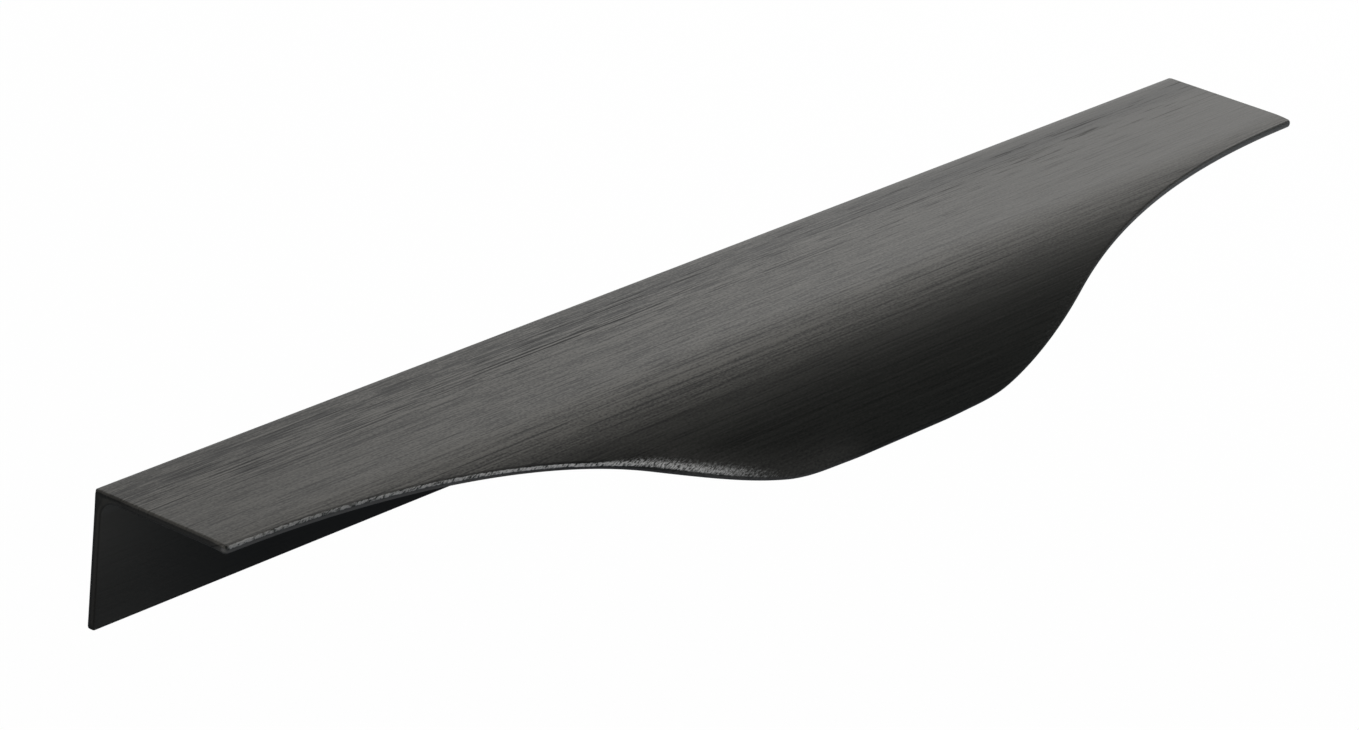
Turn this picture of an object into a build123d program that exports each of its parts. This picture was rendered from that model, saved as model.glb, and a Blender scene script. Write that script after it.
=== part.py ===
from build123d import *
from math import radians, sin
import os

# Pull handle that hangs over the top edge of a drawer front. A thin leg screws to the back of the
# board, a flange lies along the board's top edge, and in the middle the flange runs on forwards
# and curls down into a finger lip. It is one piece of aluminium: an extruded profile whose front
# edge is trimmed by a long S-curve on each side of the lip.
#
# X runs along the handle, and the pull side faces -Y. Y = 0 is the face of the leg that touches
# the board, Z = 0 is the height of the screw holes, and X = 0 is the middle of the length.
# Sizes are in millimetres and angles in degrees.

# Extruded profile
overall_length = 200.0
wall = 1.0  # one gauge for leg, flange and lip
leg_height = 16.4  # from the top of the flange to the lower edge of the leg
board_thickness = 18.0  # the flange's ends are flush with the board's front face
curl_lead = 3.0  # the curl starts this far behind the line of the flange's ends
curl_radius = 20.0  # outer face of the lip
curl_angle = 63.0
web_radius = 2.0  # fills the inside corner between leg and flange
corner_radius = 0.4  # outside corner between leg and flange

# Trimmed front edge, as seen from above
middle_run = 22.8  # straight stretch between the crests of the two S-curves
crest_clearance = 0.1  # in the middle the cutter passes this far outside the lip's own edge
turn_distance = 40.7  # from the middle to the point where each S-curve changes its sense
tip_radius = 1.0  # front corners at both ends
edge_radius = 0.3  # all edges are broken by this much

# Screw holes, countersunk from the back of the leg
hole_inset = 20.0  # from each end
hole_diameter = 4.0
hole_drop = 7.5  # below the board's top edge
countersink_depth = 0.5

# Levels and lines that follow from these sizes
half_length = overall_length / 2
board_top = hole_drop
top = board_top + wall
leg_bottom = top - leg_height
flange_front = -board_thickness
flange_rear = -2 * web_radius
curl_start = flange_front + curl_lead
lip_front = curl_start - curl_radius * sin(radians(curl_angle))
rounding = min(edge_radius, 0.4 * wall)


def is_curl(face):
    """Tell the faces of the curled lip from the small rounded corners."""
    if face.geom_type != GeomType.CYLINDER or face.radius < curl_radius - 2 * wall:
        return False
    return face.axis_of_rotation.is_parallel(Axis.X)


# Each S-curve is two arcs that meet at the turn. The turn lies on the straight line from the crest
# to the tip, so the first arc leaves the crest along X and the second reaches the tip along X.
crest = Vector(middle_run / 2, lip_front - crest_clearance)
tip = Vector(half_length, flange_front)
turn = crest + (tip - crest) * ((turn_distance - crest.X) / (tip.X - crest.X))

# Block whose upper side is the outer skin of flange and lip, trimmed straight down from above
former_base = top - 2 * curl_radius
with BuildPart() as former:
    with BuildSketch(Plane.YZ):
        with BuildLine():
            flat = Line((flange_rear, top), (curl_start, top))
            curl = JernArc(flat @ 1, flat % 1, curl_radius, curl_angle)
            Polyline(curl @ 1, (lip_front, former_base), (flange_rear, former_base), flat @ 0)
        make_face()
    extrude(amount=overall_length, both=True)
    with BuildSketch(Plane.XY.offset(top)) as front_edge:
        with BuildLine():
            middle = Line((0, crest.Y), crest)
            crest_arc = TangentArc(crest, turn, tangent=middle % 1)
            tip_arc = TangentArc(turn, tip, tangent=crest_arc % 1)
            end = Line(tip, (half_length, 0))
            Line(end @ 1, (0, 0))
            mirror(about=Plane.YZ)
        make_face()
        tips = front_edge.vertices().filter_by(lambda corner: abs(corner.Y - flange_front) < rounding)
        fillet(tips, tip_radius)
    extrude(amount=former_base - top, mode=Mode.INTERSECT)

flat_skin = former.faces().sort_by(Axis.Z)[-1]
curl_skin = former.faces().filter_by(is_curl)[0]

with BuildPart() as profile_handle:
    # Leg and the rear strip of the flange, with the web in their inside corner
    with BuildSketch(Plane.YZ) as leg_section:
        with BuildLine():
            outside = Polyline((0, leg_bottom), (wall, leg_bottom), (wall, top), (flange_rear, top))
            Polyline(outside @ 1, (flange_rear, board_top), (0, board_top), outside @ 0)
        make_face()
        fillet(leg_section.vertices().sort_by_distance((0, board_top))[0], web_radius)
        fillet(leg_section.vertices().sort_by_distance((wall, top))[0], corner_radius)
        fillet(leg_section.vertices().sort_by_distance((wall / 2, leg_bottom))[:2], rounding)
    extrude(amount=half_length, both=True)

    # Flange and lip are the skin thickened inwards, so their trimmed edges stand square to it
    thicken(flat_skin, amount=-wall)
    thicken(curl_skin, amount=-wall)

    # One tangent chain of edges runs round the whole outline, ends included
    curl_edges = profile_handle.faces().filter_by(is_curl).edges()
    fillet(curl_edges.filter_by(lambda edge: edge.center().Y < curl_start - rounding), rounding)

    # Screw holes
    with Locations(Plane(origin=(0, wall, 0), x_dir=(1, 0, 0), z_dir=(0, 1, 0))):
        with GridLocations(overall_length - 2 * hole_inset, 0, 2, 1):
            CounterSinkHole(
                radius=hole_diameter / 2,
                counter_sink_radius=hole_diameter / 2 + countersink_depth,
                depth=2 * wall,
                counter_sink_angle=90,
            )

profile_handle.part.label = "profile_handle"
os.makedirs("parts", exist_ok=True)
export_step(profile_handle.part, "parts/profile_handle.step")
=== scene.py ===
import math
import bpy
from mathutils import Matrix, Vector


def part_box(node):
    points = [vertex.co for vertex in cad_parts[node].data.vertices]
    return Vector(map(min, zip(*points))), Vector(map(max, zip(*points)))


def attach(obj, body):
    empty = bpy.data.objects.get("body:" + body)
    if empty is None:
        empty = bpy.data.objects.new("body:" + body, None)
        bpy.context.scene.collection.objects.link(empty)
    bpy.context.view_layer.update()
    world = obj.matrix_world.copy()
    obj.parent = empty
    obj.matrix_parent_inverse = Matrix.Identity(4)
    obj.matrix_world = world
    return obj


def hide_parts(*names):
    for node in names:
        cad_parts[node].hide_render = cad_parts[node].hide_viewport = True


# Looks of an edge-mounted profile handle in brushed, black anodised aluminium.
# Metres; X runs along the handle, the lip faces -Y, and Z = 0 is the height of the screw holes.

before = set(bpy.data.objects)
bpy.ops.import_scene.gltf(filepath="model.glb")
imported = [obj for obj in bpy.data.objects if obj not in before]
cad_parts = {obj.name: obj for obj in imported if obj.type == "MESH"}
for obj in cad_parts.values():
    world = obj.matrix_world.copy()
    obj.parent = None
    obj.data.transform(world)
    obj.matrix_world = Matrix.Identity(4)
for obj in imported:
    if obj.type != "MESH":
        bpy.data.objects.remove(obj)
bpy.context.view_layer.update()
boxLow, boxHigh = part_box("profile_handle")
mm = 0.001
print("frame loaded")


# Shader maths: an Output wraps one socket, and Python operators on it add the nodes
class Output:
    def __init__(self, finish, socket):
        self.finish, self.socket = finish, socket

    def other(self, name):  # another output of the same node
        return Output(self.finish, self.socket.node.outputs[name])

    def math(self, operation, *values):
        return self.finish.node("ShaderNodeMath", {"operation": operation}, dict(enumerate(values)))

    def __add__(self, value):
        return self.math("ADD", self, value)

    def __radd__(self, value):
        return self.math("ADD", value, self)

    def __sub__(self, value):
        return self.math("SUBTRACT", self, value)

    def __rsub__(self, value):
        return self.math("SUBTRACT", value, self)

    def __mul__(self, value):
        return self.math("MULTIPLY", self, value)

    def __rmul__(self, value):
        return self.math("MULTIPLY", value, self)

    def __abs__(self):
        return self.math("ABSOLUTE", self)

    def clipped(self):
        return self.math("MINIMUM", self.math("MAXIMUM", self, 0.0), 1.0)


class Finish:
    def __init__(self, owner):  # a material or the world
        owner.use_nodes = True
        self.owner, self.tree = owner, owner.node_tree
        self.tree.nodes.clear()

    def node(self, kind, settings=None, inputs=None, output=0):
        made = self.tree.nodes.new(kind)
        for key, value in (settings or {}).items():
            setattr(made, key, value)
        for key, value in (inputs or {}).items():
            if isinstance(value, Output):
                self.tree.links.new(value.socket, made.inputs[key])
            else:
                made.inputs[key].default_value = value
        return Output(self, made.outputs[output]) if made.outputs else None

    def attribute(self, name, output="Fac"):
        settings = {"attribute_type": "GEOMETRY", "attribute_name": name}
        return self.node("ShaderNodeAttribute", settings, output=output)

    def noise(self, x, y, z, detail, roughness):
        where = self.node("ShaderNodeCombineXYZ", None, {0: x, 1: y, 2: z})
        inputs = {"Vector": where, "Scale": 1.0, "Detail": detail, "Roughness": roughness}
        return self.node("ShaderNodeTexNoise", {"noise_dimensions": "3D"}, inputs)

    def ramp(self, value, low, high):  # 0 at low, 1 at high, smooth in between
        inputs = {"Value": value, "From Min": low, "From Max": high}
        return self.node("ShaderNodeMapRange", {"interpolation_type": "SMOOTHSTEP"}, inputs)

    def mix(self, share, first, second):
        inputs = {0: share, 6: first, 7: second}
        return self.node("ShaderNodeMix", {"data_type": "RGBA"}, inputs, output=2)

    def seenDirectly(self):  # 1 for what the camera sees, also in metal and through glass
        camera = self.node("ShaderNodeLightPath", output="Is Camera Ray")
        glossy, through = camera.other("Is Glossy Ray"), camera.other("Is Transmission Ray")
        return (camera + glossy + through).clipped()

    def show(self, shader, kind="ShaderNodeOutputMaterial"):
        self.node(kind, None, {"Surface": shader})
        return self.owner


# Profile handle: a flat plate of one gauge in the plane (along, across), bent over the section.
# "across" runs over the outer skin: 0 at the back of the board, up to the lip's edge, and
# negative down the leg.
handle = {
    "wall": 1.0 * mm,
    "boardThickness": 18.0 * mm,
    "curlLead": 3.0 * mm,       # the curl starts this far behind the line of the flange's ends
    "curlRadius": 20.0 * mm,
    "curlAngle": math.radians(63.0),
    "webRadius": 2.0 * mm,
    "cornerRadius": 0.22 * mm,  # outside corner between leg and flange
    "middleRun": 22.8 * mm,
    "crestClearance": 0.1 * mm,
    "cornerBlend": 0.9 * mm,    # softens the corners between the lip's edge and the S-curves
    "blendStart": 5.0 * mm,     # from the middle, where that softening starts
    "blendRun": 9.0 * mm,       # and how far it takes to grow
    "turnDistance": 40.7 * mm,
    "tipRadius": 0.5 * mm,
    "legTipRadius": 0.4 * mm,
    "edgeRadius": 0.3 * mm,
    "frontRadius": 0.42 * mm,   # the trimmed front edge is rounded more than the rest
    "holeInset": 20.0 * mm,
    "holeRadius": 2.0 * mm,
    "countersinkDepth": 0.5 * mm,
    "holePatch": 3.6 * mm,      # half width of the square of leg that is meshed round each hole
    "columnGap": 0.9 * mm,
    "tipColumns": 12,
    "flangeRows": 60,
    "cornerRows": 14,
    "legRows": 28,
    "rimSteps": 5,
    "holeRings": 4,
    "trimLimit": 30.0 * mm,     # the distance from the trimmed edge is kept up to here
    "leastShare": 0.6,          # and is at least this share of the way across to it
    "sharpAngle": math.radians(38.0),
    "tangentOrigin": (0, -10, 0),  # far to the side, so that the highlights' tangent runs along X
}

halfLength = boxHigh.x
top = boxHigh.z
legBottom = boxLow.z
boardTop = top - handle["wall"]
curlStart = handle["boardThickness"] - handle["curlLead"]
lipReach = curlStart + handle["curlRadius"] * math.sin(handle["curlAngle"])
lipEdge = curlStart + handle["curlRadius"] * handle["curlAngle"]
cornerFlat = handle["wall"] + handle["webRadius"] - handle["cornerRadius"]
cornerLength = 2 * cornerFlat + handle["cornerRadius"] * math.pi / 2
cornerEnd = handle["webRadius"] - cornerLength  # "across" where the corner meets the leg
legEnd = cornerEnd - (boardTop - handle["webRadius"] - legBottom)


def outlineArcs():
    # The S-curve seen from above: two arcs that meet on the line from crest to tip
    crest = (handle["middleRun"] / 2, lipReach + handle["crestClearance"])
    run, drop = halfLength - crest[0], crest[1] - handle["boardThickness"]
    total = run / math.sin(2 * math.atan(drop / run))
    crestRadius = total * (handle["turnDistance"] - crest[0]) / run
    return crest, crestRadius, total - crestRadius


def outlineDepth(x):
    crest, crestRadius, endRadius = outlineArcs()
    x = abs(x)
    if x <= crest[0]:
        return crest[1]
    if x <= handle["turnDistance"]:
        return crest[1] - crestRadius + math.sqrt(crestRadius ** 2 - (x - crest[0]) ** 2)
    return handle["boardThickness"] + endRadius - math.sqrt(endRadius ** 2 - (halfLength - x) ** 2)


def skinAcross(depth):  # distance over the skin for a depth in front of the board's back
    if depth <= curlStart:
        return depth
    turn = math.asin(min(1.0, (depth - curlStart) / handle["curlRadius"]))
    return curlStart + handle["curlRadius"] * turn


def frontAcross(x):
    # The trimming curve and the lip's own edge, blended where they meet
    curve = skinAcross(outlineDepth(x))
    near = min(1.0, max(0.0, (abs(x) - handle["blendStart"]) / handle["blendRun"]))
    if near == 0.0:
        return min(curve, lipEdge)
    blend = handle["cornerBlend"] * near * near * (3 - 2 * near)
    apart = max(0.0, blend - abs(curve - lipEdge)) / blend
    return min(curve, lipEdge) - apart * apart * blend / 4


def cornerPoints(share):  # outer and inner point of the section where leg and flange meet
    wall, web, corner = handle["wall"], handle["webRadius"], handle["cornerRadius"]
    run = share * cornerLength
    if run < cornerFlat:
        outer = (wall, boardTop - web + run)
    elif run < cornerLength - cornerFlat:
        turn = (run - cornerFlat) / corner
        outer = (wall - corner + corner * math.cos(turn), top - corner + corner * math.sin(turn))
    else:
        outer = (wall - corner - (run - (cornerLength - cornerFlat)), top)
    turn = share * math.pi / 2
    inner = (-web + web * math.cos(turn), boardTop - web + web * math.sin(turn))
    return outer, inner


def sectionPoints(across):  # outer and inner point (y, z) of the section
    wall, radius = handle["wall"], handle["curlRadius"]
    if across < cornerEnd:
        z = legBottom + (across - legEnd)
        return (wall, z), (0.0, z)
    if across < handle["webRadius"]:
        return cornerPoints((across - cornerEnd) / cornerLength)
    turn = max(0.0, across - curlStart) / radius
    y, z = -min(across, curlStart), top - radius  # the curl's centre
    outer = (y - radius * math.sin(turn), z + radius * math.cos(turn))
    inner = (y - (radius - wall) * math.sin(turn), z + (radius - wall) * math.cos(turn))
    return outer, inner


def bent(x, across, depth):  # place of a point of the plate, depth measured from the outer skin
    outer, inner = sectionPoints(across)
    dy, dz = inner[0] - outer[0], inner[1] - outer[1]
    thick = math.hypot(dy, dz)
    if depth > handle["wall"] / 2:
        depth = thick - (handle["wall"] - depth)
    share = depth / thick
    return Vector((x, outer[0] + dy * share, outer[1] + dz * share))


def plateOutline():
    # Half outline of the plate, from the middle of the lip to the tip, as (point, outward normal)
    crest, crestRadius, endRadius = outlineArcs()
    kinkDrop = crestRadius - handle["crestClearance"]
    kink = crest[0] + math.sqrt(crestRadius ** 2 - kinkDrop ** 2)
    tipStart = halfLength - handle["tipRadius"]
    stops = [0.0, kink, handle["turnDistance"], tipStart]
    places = []
    for start, end in zip(stops, stops[1:]):
        steps = max(2, round((end - start) / handle["columnGap"]))
        places += [start + (end - start) * i / steps for i in range(steps)]
    half = []
    nudge = 0.01 * mm
    for x in places:
        before, after = frontAcross(max(0.0, x - nudge)), frontAcross(x + nudge)
        slope = (after - before) / (2 * nudge) if x > 0 else 0.0
        size = math.hypot(slope, 1.0)
        half.append(((x, frontAcross(x)), (-slope / size, 1.0 / size)))
    centre = (tipStart, handle["boardThickness"] - handle["tipRadius"])
    for i in range(handle["tipColumns"] + 1):
        turn = math.pi / 2 * i / handle["tipColumns"]
        normal = (math.sin(turn), math.cos(turn))
        half.append((insetPoint(centre, normal, -handle["tipRadius"]), normal))
    return half


def mirrored(half):
    left = [((-p[0], p[1]), (-n[0], n[1])) for p, n in reversed(half[1:])]
    return left + half


def legOutline(columns):
    # Lower edge of the leg under the same columns, with small round corners
    radius, inset = handle["legTipRadius"], handle["edgeRadius"]
    made = []
    for x in columns:
        past = max(0.0, abs(x) - (halfLength - radius)) / (radius - inset)
        turn = math.asin(min(1.0, past))
        side = math.copysign(1.0, x)
        centre = (abs(x) if past == 0 else halfLength - radius, legEnd + radius)
        normal = (math.sin(turn), -math.cos(turn))
        point = (side * (centre[0] + radius * normal[0]), centre[1] + radius * normal[1])
        made.append((point, (side * normal[0], normal[1])))
    return made


def rimRadius(normal):  # rounding of the edge where the outline faces this way
    front = max(0.0, normal[1])
    return handle["edgeRadius"] + (handle["frontRadius"] - handle["edgeRadius"]) * front


def rimProfile(radius):
    # (inset from the outline, depth) round the edge of the plate, outer skin to inner
    wall, steps = handle["wall"], handle["rimSteps"]
    turns = [math.pi / 2 * i / steps for i in range(steps + 1)]
    first = [(radius * (1 - math.sin(t)), radius * (1 - math.cos(t))) for t in turns]
    return first + [(inset, wall - depth) for inset, depth in reversed(first)]


def insetPoint(point, normal, inset):
    return point[0] - inset * normal[0], point[1] - inset * normal[1]


class Plate:
    # Collects vertices and faces, and for the finish each vertex's place on the flat plate and
    # its distance from the trimmed edge, both in millimetres
    def __init__(self):
        self.points, self.faces, self.flat, self.trim = [], [], [], []

    def add(self, x, across, depth, trim=handle["trimLimit"]):
        self.points.append(bent(x, across, depth))
        self.flat.append((x / mm, across / mm, depth / mm))
        self.trim.append(min(trim, handle["trimLimit"]) / mm)
        return len(self.points) - 1

    def strip(self, first, second):  # faces between two closed rings
        for i in range(len(first)):
            j = (i + 1) % len(first)
            self.faces.append((first[i], second[i], second[j], first[j]))

    def dropUnused(self):  # the vertices inside the windows for the holes
        used = sorted({v for face in self.faces for v in face})
        place = {v: i for i, v in enumerate(used)}
        self.faces = [tuple(place[v] for v in face) for face in self.faces]
        self.points = [self.points[v] for v in used]
        self.flat = [self.flat[v] for v in used]
        self.trim = [self.trim[v] for v in used]


def sheetGrid(plate, front, leg, depth):
    # One skin of the plate as rows of vertices, leg's lower edge first
    borders = [insetPoint(point, normal, rimRadius(normal)) for point, normal in front]
    bottoms = [insetPoint(point, normal, rimRadius(normal))[1] for point, normal in leg]
    web = handle["webRadius"]
    rows = []
    for i in range(handle["legRows"]):
        share = i / handle["legRows"]
        rows.append([low + (cornerEnd - low) * share for low in bottoms])
    for i in range(handle["cornerRows"]):
        rows.append([cornerEnd + cornerLength * i / handle["cornerRows"]] * len(front))
    for i in range(handle["flangeRows"] + 1):
        share = i / handle["flangeRows"]
        rows.append([web + (high - web) * share for x, high in borders])
    grid = []
    for row in rows:
        line = []
        for across, (x, high), (point, normal) in zip(row, borders, front):
            trim = (high - across) * max(normal[1], handle["leastShare"]) + rimRadius(normal)
            line.append(plate.add(x, across, depth, trim))
        grid.append(line)
    return grid


def gridFaces(plate, grid, windows, flip):
    for i in range(len(grid) - 1):
        for j in range(len(grid[0]) - 1):
            if any(low[0] <= i < high[0] and low[1] <= j < high[1] for low, high in windows):
                continue
            face = (grid[i][j], grid[i + 1][j], grid[i + 1][j + 1], grid[i][j + 1])
            plate.faces.append(face[::-1] if flip else face)


def holeWindows(plate, grid):
    # Blocks of the grid round the screw holes, each as its first and its last (row, column)
    reach = handle["holePatch"]
    rows = [i for i in range(handle["legRows"]) if abs(plate.points[grid[i][0]].z) < reach]
    windows = []
    for side in (-1, 1):
        middle = side * (halfLength - handle["holeInset"])
        line = [plate.points[v].x for v in grid[rows[0]]]
        columns = [j for j, x in enumerate(line) if abs(x - middle) < reach]
        windows.append(((rows[0], columns[0]), (rows[-1], columns[-1])))
    return windows


def windowLoop(grid, window):
    (i0, j0), (i1, j1) = window
    loop = [grid[i0][j] for j in range(j0, j1)]
    loop += [grid[i][j1] for i in range(i0, i1)]
    loop += [grid[i1][j] for j in range(j1, j0, -1)]
    loop += [grid[i][j0] for i in range(i1, i0, -1)]
    return loop


def cutHole(plate, outerLoop, innerLoop, middle):
    # Rings from the square patch to the hole, through the leg and out to the patch on the far side
    wall, radius, sink = handle["wall"], handle["holeRadius"], handle["countersinkDepth"]
    middleAcross = legEnd - legBottom
    corners = [plate.points[v] for v in outerLoop]
    angles = [math.atan2(p.z, p.x - middle) for p in corners]

    def ring(size, depth):
        made = []
        for angle in angles:
            x, z = middle + size * math.cos(angle), size * math.sin(angle)
            made.append(plate.add(x, middleAcross + z, depth))
        return made

    def between(loop, size, depth):
        rings = []
        for k in range(1, handle["holeRings"]):
            share = k / handle["holeRings"]
            made = []
            for v, angle in zip(loop, angles):
                p = plate.points[v]
                x = p.x + (middle + size * math.cos(angle) - p.x) * share
                z = p.z + (size * math.sin(angle) - p.z) * share
                made.append(plate.add(x, middleAcross + z, depth))
            rings.append(made)
        return rings

    rings = [outerLoop] + between(outerLoop, radius + sink, 0.0)
    rings += [ring(radius + sink, 0.0), ring(radius, sink), ring(radius, wall)]
    rings += between(innerLoop, radius, wall)[::-1] + [innerLoop]
    for first, second in zip(rings, rings[1:]):
        plate.strip(first, second)


def rimLoops(plate, front, leg, outer, inner):
    # Rings of the rounded edge all the way round: lip side, right end, leg's lower edge, left end
    upwards, downwards = range(1, len(outer) - 1), range(len(outer) - 2, 0, -1)
    rings = []
    for step, (inset, depth) in enumerate(rimProfile(handle["edgeRadius"])[1:-1], 1):
        ring = []
        for point, normal in front:
            frontInset, frontDepth = rimProfile(rimRadius(normal))[step]
            ring.append(plate.add(*insetPoint(point, normal, frontInset), frontDepth, frontInset))
        for side, column, rows in ((1, -1, downwards), (-1, 0, upwards)):
            for i in rows:
                across = plate.flat[outer[i][column]][1] * mm
                trim = plate.trim[outer[i][column]] * mm
                ring.append(plate.add(side * (halfLength - inset), across, depth, trim))
            if side == 1:
                for point, normal in reversed(leg):
                    ring.append(plate.add(*insetPoint(point, normal, inset), depth))
        rings.append(ring)

    def border(grid):
        right, left = [grid[i][-1] for i in downwards], [grid[i][0] for i in upwards]
        return grid[-1] + right + grid[0][::-1] + left

    rings = [border(outer)] + rings + [border(inner)]
    for first, second in zip(rings, rings[1:]):
        plate.strip(first, second)


def makeHandle():
    front = mirrored(plateOutline())
    columns = [insetPoint(point, normal, rimRadius(normal))[0] for point, normal in front]
    leg = legOutline(columns)
    plate = Plate()
    outer = sheetGrid(plate, front, leg, 0.0)
    inner = sheetGrid(plate, front, leg, handle["wall"])
    windows = holeWindows(plate, outer)
    gridFaces(plate, outer, windows, flip=False)
    gridFaces(plate, inner, windows, flip=True)
    for side, window in zip((-1, 1), windows):
        middle = side * (halfLength - handle["holeInset"])
        cutHole(plate, windowLoop(outer, window), windowLoop(inner, window), middle)
    rimLoops(plate, front, leg, outer, inner)
    plate.dropUnused()

    mesh = bpy.data.meshes.new("handle_profile")
    mesh.from_pydata(plate.points, [], plate.faces)
    flat = mesh.attributes.new("plate", "FLOAT_VECTOR", "POINT")
    flat.data.foreach_set("vector", [value for place in plate.flat for value in place])
    trim = mesh.attributes.new("trim", "FLOAT", "POINT")
    trim.data.foreach_set("value", plate.trim)
    mesh.validate()
    mesh.use_auto_texspace = False
    mesh.texspace_location = handle["tangentOrigin"]
    mesh.polygons.foreach_set("use_smooth", [True] * len(mesh.polygons))
    mesh.set_sharp_from_angle(angle=handle["sharpAngle"])
    piece = bpy.data.objects.new("handle_profile", mesh)
    bpy.context.scene.collection.objects.link(piece)
    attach(piece, "root")
    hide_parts("profile_handle")
    print("handle:", len(mesh.vertices), "vertices,", len(mesh.polygons), "faces")
    return piece


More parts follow.
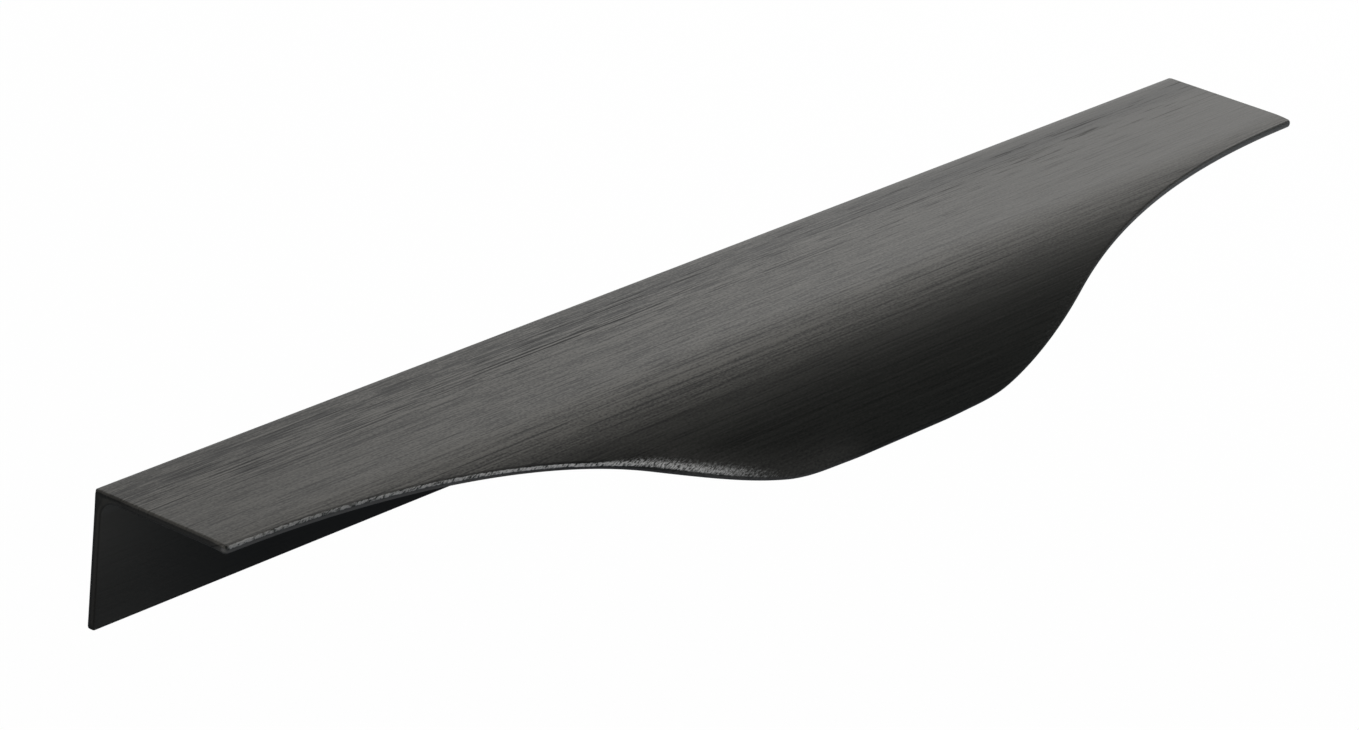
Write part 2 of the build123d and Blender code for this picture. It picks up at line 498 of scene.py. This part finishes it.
# Brushed, black anodised aluminium. Lengths are millimetres of the flat plate.
anodised = {
    # dark is the colour of the darker hairs and the ends, and also of painted shade on the leg and
    # behind the strokes
    "dark": (0.0140, 0.0134, 0.0122, 1.0),
    "low": (0.0205, 0.0196, 0.0176, 1.0),    # of the brushing, from low to high
    "high": (0.0900, 0.0860, 0.0770, 1.0),
    "cut": (0.082, 0.079, 0.076, 1.0),       # cut face of the trimmed edge
    "bare": (0.30, 0.295, 0.285, 1.0),       # where that edge is paler, towards both ends
    "haze": (0.30, 0.272, 0.252, 1.0),       # bloom on the skin behind the near shoulder's edge
    "sanded": (0.62, 0.61, 0.60, 1.0),       # sanding strokes
    "metallic": 0.87,
    "sandedMetallic": 0.60,
    "roughness": 0.42,
    "markRoughness": 0.1,
    "sandedRoughness": 0.15,
    "anisotropy": 0.5,
    "quarterTurn": 0.25,     # turns the stretched highlights to lie across the brushing
    "bump": 0.6,
    "bumpHeight": 0.02 * mm,
    "brushingHeight": 0.6,
    "sandedHeight": 1.5,

    # Noises: scale along, across and through the plate, then detail and roughness
    "hairs": (0.14, 3.6, 1.0, 2.0, 0.7),
    "lines": (0.022, 3.8, 1.0, 2.0, 0.7),
    "grain": (2.0, 4.5, 4.0, 1.0, 0.5),
    "broad": (0.02, 0.8, 1.0, 2.0, 0.5),
    "wobble": (1.1, 0.0, 0.0, 2.0, 0.5),
    "strokes": (1.3, 6.5, 2.0, 2.0, 0.8),

    # How much each of them moves the shade between low and high
    "middleShade": 0.5,
    "hairShade": 2.0,
    "lineShade": 1.12,
    "grainShade": 1.8,
    "broadShade": 0.7,
    "rearShade": 0.7,        # more of it near the back edge
    "force": 0.85,           # of the whole brushing
    "farCalm": 0.8,          # less of it towards the far end, though not as much less on the curl
    "farCalmOnCurl": 0.35,
    "markLevels": (-0.07, -0.20),  # single darker hairs, where the lines are lowest
    "markHairs": 0.6,
    "markShade": 0.4,

    # Shares of the paler and darker colours that are mixed in
    # share of the painted light on the leg's inner side
    "legPale": 0.05,
    "cutShare": 0.9,
    "cutGrain": 1.1,
    "hazeShare": 0.22,
    "hazeGrain": 0.32,
    "endShade": 0.65,

    # Sanding strokes. "rim" is -0.3 where the skin ends and 0.3 where the cut face starts.
    "wobbleHeight": 0.22,
    "slant": 0.22,           # against the length
    "strokeGrain": 0.3,
    "wornLevels": (0.03, 0.33),
    "wornDense": 0.17,
    "skinReach": 0.3,        # onto the skin, and how much further beside the lip
    "shoulderReach": 1.55,
    "skinEdge": (-0.05, 0.15),     # the strokes' soft border on the skin
    "skinEdgeShoulder": (-0.3, 1.1),
    "faceEdge": (0.40, 0.16),      # and towards the cut face
    "faceEdgeShoulder": (-0.45, -0.5),

    # Zones: a weight, and smooth steps (place, 0 from here, 1 from here). The places are x along
    # the handle, side from its middle, across, depth, trim from the trimmed edge, and rim.
    "zones": {
        "curl": (1.0, ("across", 14.0, 20.0)),
        "rear": (1.0, ("across", 0.0, 1.5), ("across", 9.0, 5.0)),
        "far": (1.0, ("x", -30.0, 85.0)),
        "nearForce": (0.35, ("x", -85.0, -45.0)),
        "innerCalm": (0.9, ("depth", 0.3, 0.7)),
        "lipCalm": (0.65, ("across", 20.0, 26.0)),
        "endCalm": (0.8, ("side", 99.75, 99.92)),
        "curlHairs": (0.6, ("across", 14.0, 20.0)),
        "curlLines": (1.28, ("across", 14.0, 20.0)),
        "nearRear": (0.6, ("x", 10.0, -40.0)),
        "farRear": (1.1, ("x", 20.0, 65.0)),
        "rearMarks": (1.2, ("across", 0.0, 1.5), ("across", 9.0, 5.0)),
        "marked": (1.0, ("x", 55.0, 0.0)),
        "darkBand": (0.22, ("across", 0.3, 1.6), ("across", 4.5, 2.6)),
        "darkRear": (0.16, ("across", 8.0, 0.0)),
        # painted shade near the trimmed edge on the near shoulder
        "frontPaintedShade": (0.18, ("trim", 4.5, 1.0), ("x", -72.0, -55.0), ("x", -33.0, -42.0)),
        # painted light where the curl begins
        "bendPaintedLight": (0.12, ("across", 15.0, 17.0), ("across", 23.0, 20.0)),
        # painted shade and painted light on the inner side of the leg
        "legPaintedShade": (0.8, ("depth", 0.3, 0.7), ("across", 4.0, 2.0), ("x", -98.0, -70.0)),
        "legPaintedLight": (1.0, ("depth", 0.3, 0.7), ("across", 4.0, 2.0), ("x", -84.0, -100.0)),
        "legPaintedLightTop": (0.6, ("across", -15.0, -3.0)),
        "cutFace": (1.0, ("depth", 0.22, 0.38), ("depth", 0.82, 0.64), ("trim", 0.6, 0.3)),
        "nearCut": (0.25, ("x", -50.0, -70.0)),
        "farRim": (0.8, ("trim", 0.6, 0.4), ("x", 42.0, 62.0)),
        "belowSkin": (1.0, ("depth", 0.02, 0.25)),
        "farTip": (0.5, ("x", 55.0, 100.0)),
        "haze": (
            1.0, ("x", -5.0, -14.0), ("x", -44.0, -32.0), ("trim", 4.5, 0.8), ("depth", 0.5, 0.2),
        ),
        "besideLip": (1.0, ("side", 50.0, 37.0)),
        "shoulder": (1.0, ("side", 50.0, 37.0), ("side", 15.5, 28.5)),
        "strokesRun": (1.0, ("side", 15.5, 34.0), ("side", 99.9, 99.3)),
        "strokesFar": (0.9, ("x", -5.0, 5.0)),
        "shoulderDense": (0.04, ("side", 50.0, 37.0), ("side", 15.5, 28.5)),
        "tipDense": (0.08, ("side", 93.0, 98.0)),
        "nearDense": (0.07, ("x", -42.0, -47.0)),
        "tipWorn": (0.38, ("side", 52.0, 90.0)),
        # painted shadow line behind the sanding strokes
        "paintedShadowLine": (0.6, ("rim", -0.66, -0.52), ("rim", -0.30, -0.42), ("x", -38.0, -55.0)),
        "ends": (1.0, ("side", 99.75, 99.92), ("trim", 0.6, 1.5)),
        "endTop": (0.2, ("across", -2.0, 1.0)),
        "innerMetallic": (0.12, ("depth", 0.3, 0.7)),
        "innerRoughness": (0.15, ("depth", 0.3, 0.7)),
    },
}


def brushedAnodised():
    finish = Finish(bpy.data.materials.new("brushed anodised"))
    x = finish.node("ShaderNodeSeparateXYZ", None, {0: finish.attribute("plate", "Vector")})
    across, depth = x.other("Y"), x.other("Z")
    trim = finish.attribute("trim")
    places = {"x": x, "side": abs(x), "across": across, "depth": depth, "trim": trim}

    def zone(name):
        share, *steps = anodised["zones"][name]
        for place, low, high in steps:
            share = share * finish.ramp(places[place], low, high)
        return share

    def noise(name, sideways=across):  # from about -0.5 to 0.5
        alongScale, acrossScale, depthScale, detail, roughness = anodised[name]
        scaled = (x * alongScale, sideways * acrossScale, depth * depthScale)
        return finish.noise(*scaled, detail, roughness) - 0.5

    # Brushing: long and short hairs, straighter on the curl, coarser near the back edge, finer
    # at the far end, and hardly any on the inner side
    hairs, lines, grain = noise("hairs"), noise("lines"), noise("grain")
    clear = 1.0 - zone("far") * (anodised["farCalm"] - zone("curl") * anodised["farCalmOnCurl"])
    plain = (1.0 - zone("innerCalm")) * (1.0 - zone("lipCalm")) * (1.0 - zone("endCalm"))
    force = (anodised["force"] + zone("nearForce")) * clear * plain
    brushing = hairs * (anodised["hairShade"] - zone("curlHairs"))
    brushing = brushing + lines * (anodised["lineShade"] + zone("curlLines"))
    rearForce = anodised["rearShade"] + zone("nearRear") - zone("farRear")
    brushing = brushing * (1.0 + zone("rear") * rearForce)
    soft = grain * anodised["grainShade"] + noise("broad") * anodised["broadShade"]
    shade = anodised["middleShade"] + (brushing + soft) * force
    # painted light: paler where the curl begins
    # painted shade: darker near the trimmed edge on the near shoulder
    shade = shade - zone("frontPaintedShade") - zone("darkBand") - zone("darkRear") + zone("bendPaintedLight")
    colour = finish.mix(shade.clipped(), anodised["low"], anodised["high"])
    marks = finish.ramp(lines + hairs * anodised["markHairs"], *anodised["markLevels"])
    marks = marks * (anodised["markShade"] + zone("rearMarks"))
    colour = finish.mix(marks * force * zone("marked"), colour, anodised["dark"])

    # Inner side of the leg: paler near the one end as painted light, darker behind it as painted
    # shade under the flange
    colour = finish.mix(zone("legPaintedShade"), colour, anodised["dark"])
    pale = zone("legPaintedLight") * (anodised["legPale"] + zone("legPaintedLightTop"))
    colour = finish.mix(pale, colour, anodised["high"])

    # The trimmed edge: its cut face is a little paler, its rounding too at the far end, and a
    # pale haze lies behind it on the near shoulder
    cut = zone("cutFace")
    cutShare = (anodised["cutShare"] + grain * anodised["cutGrain"]).clipped()
    colour = finish.mix(cut * cutShare, colour, anodised["cut"])
    colour = finish.mix(cut * zone("nearCut"), colour, anodised["bare"])
    below = zone("belowSkin")
    farRim = zone("farRim") * (below + (1.0 - below) * zone("farTip"))
    colour = finish.mix(farRim, colour, anodised["bare"])
    haze = zone("haze") * (anodised["hazeShare"] + grain * anodised["hazeGrain"])
    colour = finish.mix(haze, colour, anodised["haze"])

    # Slanting strokes of the sanding on that edge's outer rounding, and beside the lip further in
    # on the skin, denser at the tips and sparser where they fade, with a painted shadow line behind
    # them
    rim = depth - trim + noise("wobble") * anodised["wobbleHeight"]
    places["rim"] = rim
    strokes = noise("strokes", across + x * anodised["slant"]) + grain * anodised["strokeGrain"]
    beside, shoulder = zone("besideLip"), zone("shoulder")

    def border(value, edge, shift, share):
        low, high = [level + share * move for level, move in zip(anodised[edge], anodised[shift])]
        return finish.ramp(value, low, high)

    reach = anodised["skinReach"] + shoulder * anodised["shoulderReach"]
    onSkin = border(rim + reach, "skinEdge", "skinEdgeShoulder", shoulder)
    offFace = border(rim, "faceEdge", "faceEdgeShoulder", beside)
    share = onSkin * offFace * zone("strokesRun") * (1.0 - zone("strokesFar"))
    dense = zone("shoulderDense") + zone("tipDense") + zone("nearDense")
    dense = dense + share * anodised["wornDense"]
    worn = finish.ramp(strokes + dense, *anodised["wornLevels"]) * share * (1.0 - zone("tipWorn"))
    # painted shadow: a dark line between the skin and the strokes
    colour = finish.mix(zone("paintedShadowLine"), colour, anodised["dark"])
    colour = finish.mix(worn, colour, anodised["sanded"])
    ends = zone("ends") * (anodised["endShade"] - zone("endTop"))
    colour = finish.mix(ends, colour, anodised["dark"])

    bump = finish.node("ShaderNodeBump", None, {
        "Strength": anodised["bump"],
        "Distance": anodised["bumpHeight"],
        "Height": brushing * anodised["brushingHeight"] + worn * anodised["sandedHeight"],
    })
    metallic = anodised["metallic"] - worn * (anodised["metallic"] - anodised["sandedMetallic"])
    roughness = anodised["roughness"] + marks * anodised["markRoughness"] + zone("innerRoughness")
    shader = finish.node("ShaderNodeBsdfPrincipled", None, {
        "Base Color": colour,
        "Metallic": metallic - zone("innerMetallic"),
        "Roughness": roughness + (worn + cut).clipped() * anodised["sandedRoughness"],
        "Anisotropic": anodised["anisotropy"],
        "Anisotropic Rotation": anodised["quarterTurn"],
        "Normal": bump,
    })
    print("finish ready")
    return finish.show(shader)


handlePiece = makeHandle()
handlePiece.data.materials.append(brushedAnodised())


# Studio: pale floor and white surroundings, a soft lamp behind the handle, and dark flags round
# its front and below it, which only the metal's reflections see
studio = {
    "floorDrop": 0.14,
    "floorSize": 14.0,
    "floorColour": (0.9, 0.9, 0.9, 1.0),
    "floorGlow": 0.9,
    "white": (1.0, 1.0, 1.0, 1.0),
    "worldFill": 1.0,
    "frontTone": (0.027, 0.043, 0.047, 1.0),
    "lowerTone": (0.135, 0.158, 0.188, 1.0),
    "lowerFlag": ((2.50, -0.10), (-0.80, -0.10)),                # (y, z) from behind to the front
    "frontFlag": ((-0.80, -0.10), (-0.80, 0.60), (0.05, 0.60)),  # and on round the front
    "flagEnds": (-1.6, 2.4),  # x of both
    "lampPlace": (0.75, 0.42, 0.26),
    "lampSize": (0.35, 0.35),
    "lampPower": 0.35,
}


def glow(name, colour):
    finish = Finish(bpy.data.materials.new(name))
    return finish.show(finish.node("ShaderNodeEmission", None, {"Color": colour, "Strength": 1.0}))


def sheet(name, corners, faces, material):
    mesh = bpy.data.meshes.new(name)
    mesh.from_pydata(corners, [], faces)
    made = bpy.data.objects.new(name, mesh)
    made.data.materials.append(material)
    bpy.context.scene.collection.objects.link(made)
    return made


def floorFinish():
    finish = Finish(bpy.data.materials.new("pale floor"))
    plain = finish.node("ShaderNodeBsdfDiffuse", None, {"Color": studio["floorColour"]})
    white = finish.node("ShaderNodeEmission", None, {"Color": studio["white"], "Strength": 1.0})
    share = finish.seenDirectly() * studio["floorGlow"]
    return finish.show(finish.node("ShaderNodeMixShader", None, {0: share, 1: plain, 2: white}))


def makeFlag(name, path, tone):
    corners = [(x, y, z) for y, z in path for x in studio["flagEnds"]]
    faces = [(2 * i, 2 * i + 1, 2 * i + 3, 2 * i + 2) for i in range(len(path) - 1)]
    flag = sheet(name, corners, faces, glow(name, tone))
    flag.visible_camera = flag.visible_diffuse = False
    flag.visible_shadow = flag.visible_transmission = False


def makeLamp():
    lamp = bpy.data.lights.new("soft_lamp", "AREA")
    lamp.shape = "RECTANGLE"
    lamp.size, lamp.size_y = studio["lampSize"]
    lamp.energy = studio["lampPower"]
    holder = bpy.data.objects.new("soft_lamp", lamp)
    holder.location = studio["lampPlace"]
    holder.rotation_mode = "QUATERNION"
    holder.rotation_quaternion = Vector(studio["lampPlace"]).to_track_quat("Z", "Y")
    bpy.context.scene.collection.objects.link(holder)


def makeWorld():
    world = bpy.data.worlds.new("studio")
    sky = Finish(world)
    tones = {"Color": studio["white"], "Strength": studio["worldFill"]}
    fill = sky.node("ShaderNodeBackground", None, tones)
    white = sky.node("ShaderNodeBackground", None, {"Color": studio["white"], "Strength": 1.0})
    mixed = sky.node("ShaderNodeMixShader", None, {0: sky.seenDirectly(), 1: fill, 2: white})
    bpy.context.scene.world = sky.show(mixed, "ShaderNodeOutputWorld")


def makeStudio():
    half, z = studio["floorSize"] / 2, legBottom - studio["floorDrop"]
    corners = [(-half, -half, z), (half, -half, z), (half, half, z), (-half, half, z)]
    sheet("floor", corners, [(0, 1, 2, 3)], floorFinish())
    makeFlag("lower_flag", studio["lowerFlag"], studio["lowerTone"])
    makeFlag("front_flag", studio["frontFlag"], studio["frontTone"])
    makeLamp()
    makeWorld()


# The photograph's view: the middle of the handle's back top edge is seen at anchorPixel
view = {
    "azimuth": math.radians(-53.334),
    "elevation": math.radians(22.601),
    "roll": math.radians(5.443),
    "distance": 0.7502,
    "focalPixels": 6411.5,
    "anchorPixel": (685.25, 262.48),  # the first pixel's centre is 0.5
    "framePixels": (1359, 730),
    "sensor": 36.0,
    "clip": (0.01, 30.0),
}


def makeCamera():
    azimuth, elevation, roll = view["azimuth"], view["elevation"], view["roll"]
    width, height = view["framePixels"]
    level = Vector((math.sin(azimuth), -math.cos(azimuth), 0)) * math.cos(elevation)
    back = level + Vector((0, 0, math.sin(elevation)))
    right = Vector((0, 0, 1)).cross(back).normalized()
    up = back.cross(right)
    turnedRight = right * math.cos(roll) + up * math.sin(roll)
    turnedUp = up * math.cos(roll) - right * math.sin(roll)
    anchor = Vector((0, boxHigh.y, top))
    scale = view["distance"] / view["focalPixels"]
    sideways = (view["anchorPixel"][0] - width / 2) * scale
    upwards = -(view["anchorPixel"][1] - height / 2) * scale
    place = anchor - turnedRight * sideways - turnedUp * upwards + back * view["distance"]
    turn = Matrix((turnedRight, turnedUp, back)).transposed().to_4x4()
    data = bpy.data.cameras.new("camera")
    data.sensor_width = view["sensor"]
    data.lens = view["focalPixels"] / width * view["sensor"]
    data.clip_start, data.clip_end = view["clip"]
    camera = bpy.data.objects.new("camera", data)
    camera.matrix_world = Matrix.Translation(place) @ turn
    bpy.context.scene.collection.objects.link(camera)
    bpy.context.scene.camera = camera


makeStudio()
makeCamera()
bpy.context.scene.view_settings.view_transform = "Standard"
print("studio ready")
